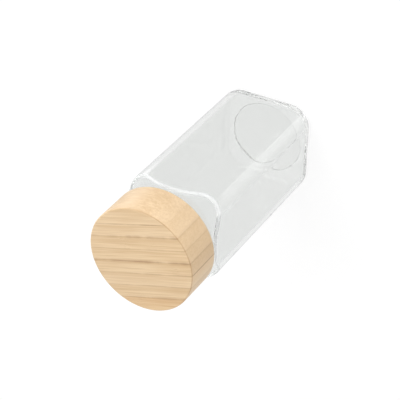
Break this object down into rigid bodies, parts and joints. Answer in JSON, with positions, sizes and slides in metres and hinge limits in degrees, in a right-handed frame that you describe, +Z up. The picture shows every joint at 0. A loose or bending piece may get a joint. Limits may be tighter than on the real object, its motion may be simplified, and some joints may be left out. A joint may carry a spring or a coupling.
{
  "type": "spice jar",
  "caption": "Square glass jar with round corners and an arched shoulder, a sifter plate in its neck, and a round screw cap turned from laminated bamboo.",
  "frame": {"origin": "centre of the standing ring under the glass base, on the surface that the jar stands on", "axes": "+Z up the jar's axis from the base to the cap; X and Y square to the body's flat sides"},
  "size_m": [0.048, 0.048, 0.1095],
  "materials": {
    "glass": "clear, faintly grey-green",
    "insert_plastic": "translucent white",
    "seal_foam": "smooth foam",
    "lining_plastic": "satin",
    "bamboo_pale": "sanded, clear satin lacquer",
    "bamboo_mid": "sanded, clear satin lacquer",
    "bamboo_deep": "sanded, clear satin lacquer"
  },
  "bodies": {
    "jar": {"glass_jar": "glass", "sifter_insert": "insert_plastic"},
    "seal": {"seal_disc": "seal_foam"},
    "cap": {"cap_lining": "lining_plastic", "cap_strip_1": "bamboo_deep", "cap_strip_2": "bamboo_mid", "cap_strip_3": "bamboo_pale", "cap_strip_4": "bamboo_mid", "cap_strip_5": "bamboo_mid", "cap_strip_6": "bamboo_mid", "cap_strip_7": "bamboo_pale", "cap_strip_8": "bamboo_pale"}
  },
  "joints": [
    {"name": "cap_lift", "type": "slide", "parent": "jar", "child": "seal", "axis": [0, 0, 1], "range_m": [0, 0.01165]},
    {"name": "cap_turn", "type": "hinge", "parent": "seal", "child": "cap", "pos_m": [0, 0, 0.0915], "axis": [0, 0, 1], "range_deg": [0, 990]}
  ],
  "couplings": [
    {"joint": "cap_lift", "follows": "cap_turn", "m_per_rad": 0.00067323}
  ]
}
